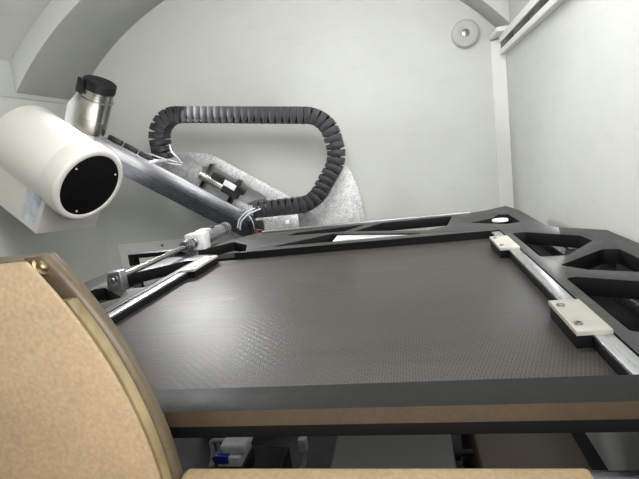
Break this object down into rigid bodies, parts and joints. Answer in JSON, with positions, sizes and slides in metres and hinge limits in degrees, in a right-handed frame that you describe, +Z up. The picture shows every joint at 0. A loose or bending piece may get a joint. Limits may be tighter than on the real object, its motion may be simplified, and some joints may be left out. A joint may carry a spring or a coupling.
{
  "type": "x-ray inspection machine",
  "caption": "Shielded cabinet with a moving sample stage, an x-ray tube below it and a swinging detector arm above it for inspecting circuit boards.",
  "frame": {"origin": "centre of the footprint, on the floor under the levelling feet", "axes": "+X to the right seen from the operator, +Y from the loading side to the back, +Z up"},
  "size_m": [1.456, 1.67, 1.8558],
  "materials": {
    "cabinet_paint": "satin powder coat",
    "door_paint": "satin powder coat",
    "dark_paint": "satin powder coat",
    "inner_paint": "satin paint",
    "white_paint": "satin paint",
    "lamp_plastic": "frosted",
    "tan_paint": "satin paint",
    "seal_plastic": "matte",
    "brown_metal": "satin bronze paint",
    "steel": "brushed",
    "rail_steel": "ground",
    "aluminium": "machined",
    "speckled_aluminium": "grained",
    "frame_anodised": "dark anodised",
    "tray_fibre": "woven fibre laminate",
    "unit_grey": "satin",
    "black_rubber": "matte",
    "black_plastic": "matte",
    "chain_plastic": "matte",
    "white_plastic": "satin",
    "detector_cream": "cream satin paint",
    "tube_glass": "dark coated",
    "window_glass": "tinted lead glass",
    "stop_red": "gloss"
  },
  "bodies": {
    "cabinet": {"base_frame": "dark_paint", "levelling_feet": "steel", "floors": "inner_paint", "side_walls": "cabinet_paint", "rear_wall": "cabinet_paint", "front_wall": "cabinet_paint", "roof_shell": "cabinet_paint", "arch_rib": "inner_paint", "rear_cover": "door_paint", "interior_trim": "white_paint", "lamps": "lamp_plastic", "loading_sill": "tan_paint", "shield_skin": "tan_paint", "shield_core": "tan_paint", "shield_seal": "seal_plastic", "shield_back_plate": "brown_metal", "fixed_screws": "steel", "stage_bed": "rail_steel", "swing_bearing": "steel", "lift_column": "rail_steel", "supply_units": "unit_grey", "supply_leads": "black_rubber", "front_guides": "steel", "control_panel": "dark_paint", "mains_inlet": "black_plastic"},
    "carriage": {"cross_carriage": "frame_anodised", "carriage_guides": "rail_steel", "nut_yoke": "aluminium"},
    "stage": {"stage_frame": "frame_anodised", "y_runners": "rail_steel", "tray_plate": "tray_fibre", "tray_side_rails": "frame_anodised", "bright_strips": "aluminium", "tray_clamps": "aluminium", "clamp_bolts": "steel", "screw_bearing_block": "white_plastic", "drive_motor": "aluminium"},
    "screw": {"drive_screw": "steel"},
    "arm": {"swing_hub": "aluminium", "fan_plate": "speckled_aluminium", "swing_arm": "aluminium", "arm_connectors": "black_plastic", "detector_housing": "detector_cream", "detector_ring": "detector_cream", "image_tube": "tube_glass", "arm_screws": "steel", "detector_carrier": "aluminium", "camera_barrel": "aluminium", "camera_cap": "black_plastic", "arm_actuator": "black_plastic", "energy_chain": "chain_plastic", "chain_cables": "black_rubber", "chain_brackets": "aluminium"},
    "tube": {"ray_tube": "dark_paint"},
    "door": {"loading_door": "door_paint", "door_window": "window_glass"},
    "bay_left": {"bay_door_left": "door_paint"},
    "bay_right": {"bay_door_right": "door_paint"},
    "stop_button": {"stop_button": "stop_red"},
    "key": {"key_switch": "steel"}
  },
  "joints": [
    {"name": "cross_travel", "type": "slide", "parent": "cabinet", "child": "carriage", "axis": [1, 0, 0], "range_m": [-0.44, 0]},
    {"name": "depth_travel", "type": "slide", "parent": "carriage", "child": "stage", "axis": [0, 1, 0], "range_m": [0, 0.18]},
    {"name": "screw_turn", "type": "hinge", "parent": "stage", "child": "screw", "pos_m": [-0.066, 0, 1.017], "axis": [0, 1, 0], "range_deg": [0, 2600]},
    {"name": "arm_swing", "type": "hinge", "parent": "cabinet", "child": "arm", "pos_m": [-0.099, 0.7, 0.972], "axis": [0, 1, 0], "range_deg": [0, 55]},
    {"name": "tube_lift", "type": "slide", "parent": "cabinet", "child": "tube", "axis": [0, 0, 1], "range_m": [-0.06, 0]},
    {"name": "door_slide", "type": "slide", "parent": "cabinet", "child": "door", "axis": [1, 0, 0], "range_m": [0, 0.69]},
    {"name": "bay_left_turn", "type": "hinge", "parent": "cabinet", "child": "bay_left", "pos_m": [-0.664, -0.822, 0.335], "axis": [0, 0, 1], "range_deg": [-110, 0]},
    {"name": "bay_right_turn", "type": "hinge", "parent": "cabinet", "child": "bay_right", "pos_m": [0.664, -0.822, 0.335], "axis": [0, 0, 1], "range_deg": [0, 110]},
    {"name": "stop_press", "type": "slide", "parent": "cabinet", "child": "stop_button", "axis": [0, 1, 0], "range_m": [0, 0.005], "stiffness_N_per_m": 600},
    {"name": "key_turn", "type": "hinge", "parent": "cabinet", "child": "key", "pos_m": [-0.06, -0.82, 1.56], "axis": [0, 1, 0], "range_deg": [0, 90]}
  ],
  "couplings": [
    {"joint": "screw_turn", "follows": "depth_travel", "rad_per_m": 251.33}
  ]
}
